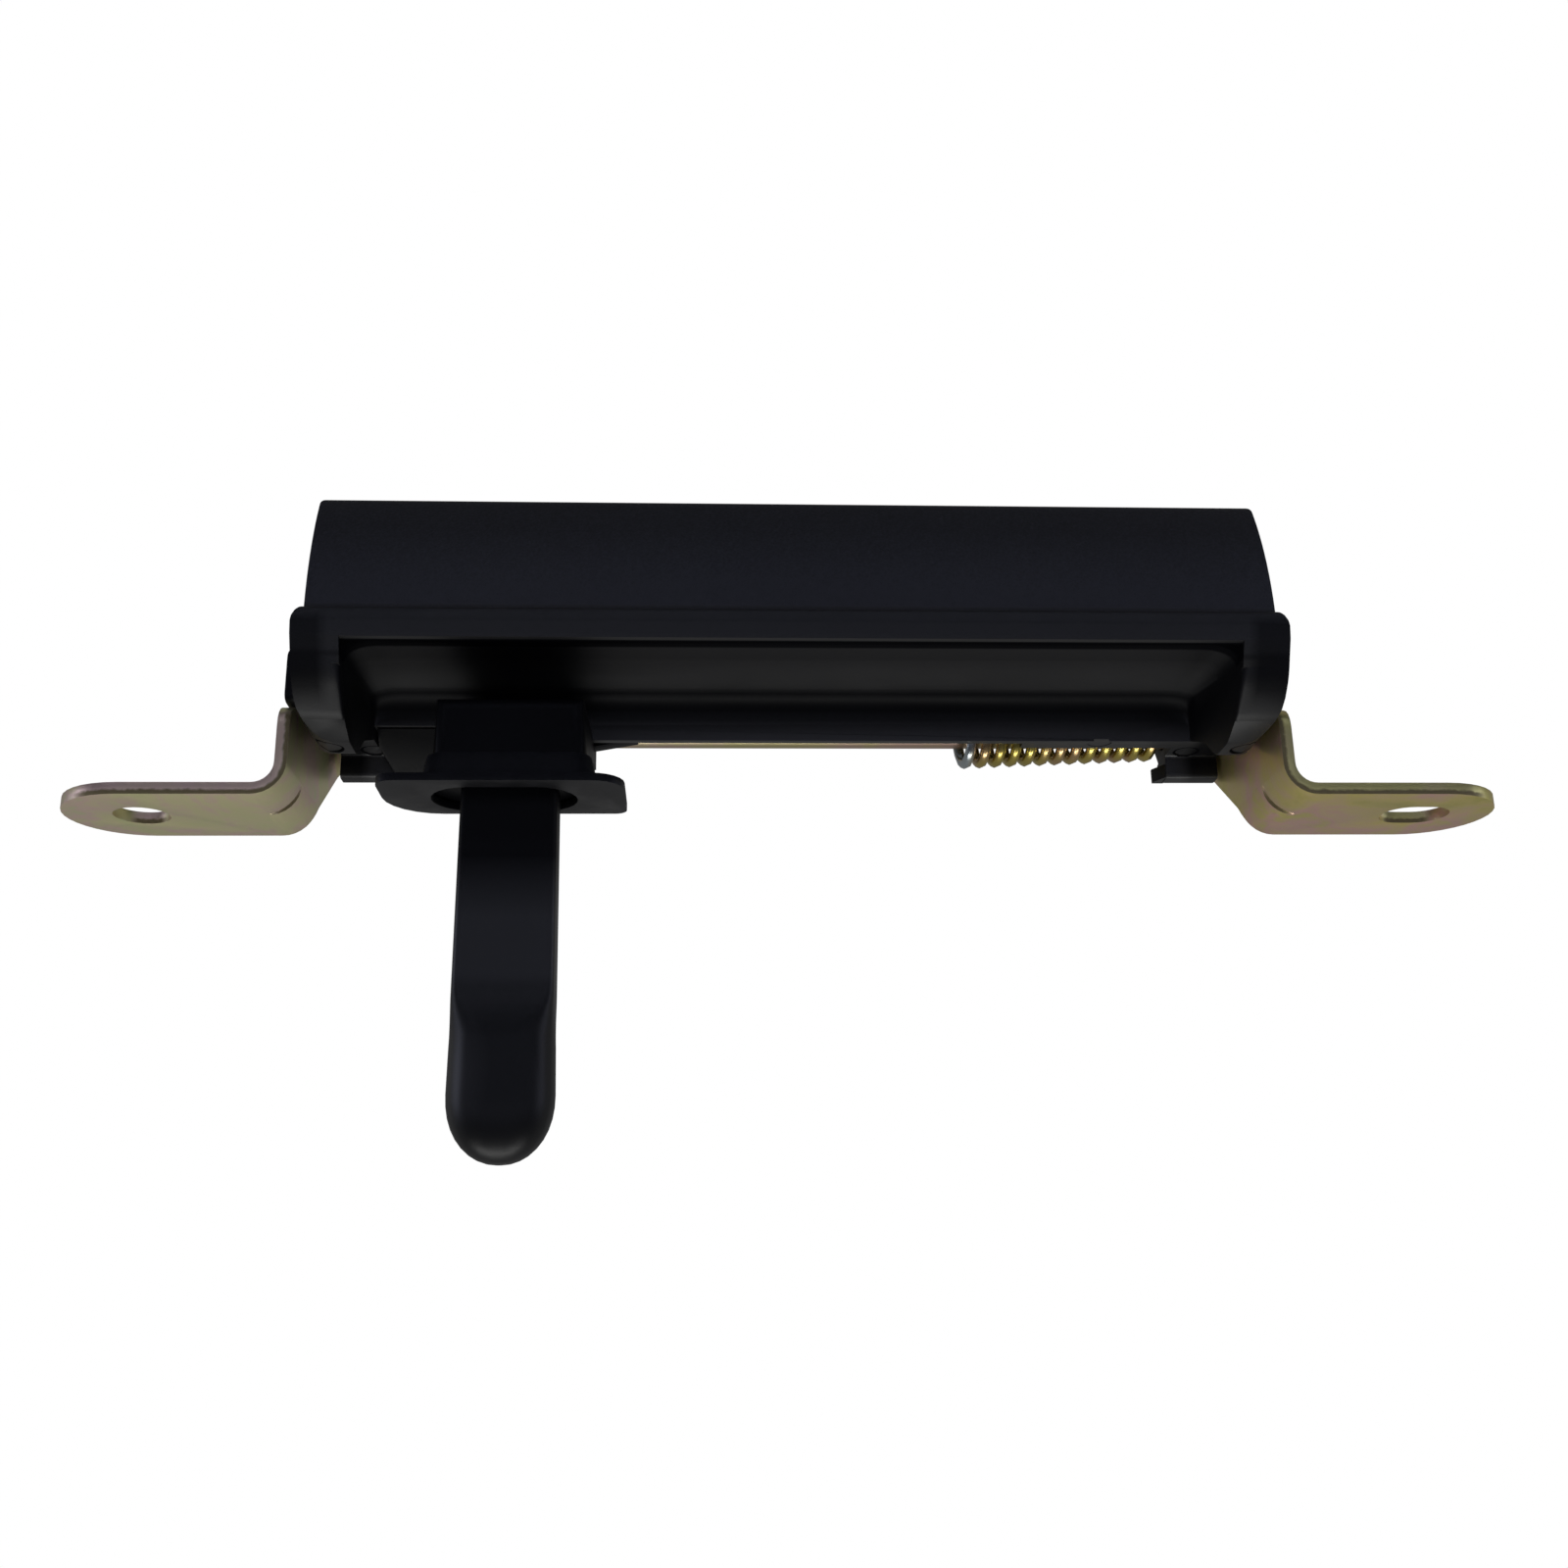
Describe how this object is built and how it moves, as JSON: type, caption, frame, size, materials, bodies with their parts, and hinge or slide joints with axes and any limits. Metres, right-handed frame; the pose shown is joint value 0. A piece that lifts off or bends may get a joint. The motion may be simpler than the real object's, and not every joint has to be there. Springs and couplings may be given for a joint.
{
  "type": "liftgate handle",
  "caption": "Pull handle with a finger scoop and a downward release lever, sprung on a rod in a folded steel bracket with bolt-on ears.",
  "frame": {"origin": "midway between the two bolt holes, on the plane of the ears' faces that meet the body panel", "axes": "+X along the handle towards the slotted ear, +Y away from the body panel, +Z towards the side that the fingers reach in from"},
  "size_m": [0.2422, 0.1096, 0.0542],
  "materials": {
    "yellow_zinc": "yellow passivated zinc, satin",
    "spring_zinc": "yellow passivated zinc wire",
    "bright_steel": "turned, lightly polished",
    "grained_black": "fine leather-like grain on the panel, satin lip",
    "satin_black": "satin moulded",
    "black_rubber": "matte moulded rubber"
  },
  "bodies": {
    "bracket": {"mounting_bracket": "yellow_zinc", "pivot_rod": "spring_zinc", "rod_clip": "bright_steel", "return_spring": "spring_zinc"},
    "handle": {"pull_handle": "grained_black", "release_lever": "satin_black", "lever_boot": "black_rubber", "stop_buffer": "black_rubber"}
  },
  "joints": [
    {"name": "handle_pivot", "type": "hinge", "parent": "bracket", "child": "handle", "pos_m": [0, 0.0221, -0.0215], "axis": [-1, 0, 0], "range_deg": [0, 25], "stiffness_Nm_per_rad": 0.38, "springref_deg": -68.75, "deforming": ["return_spring"]}
  ]
}
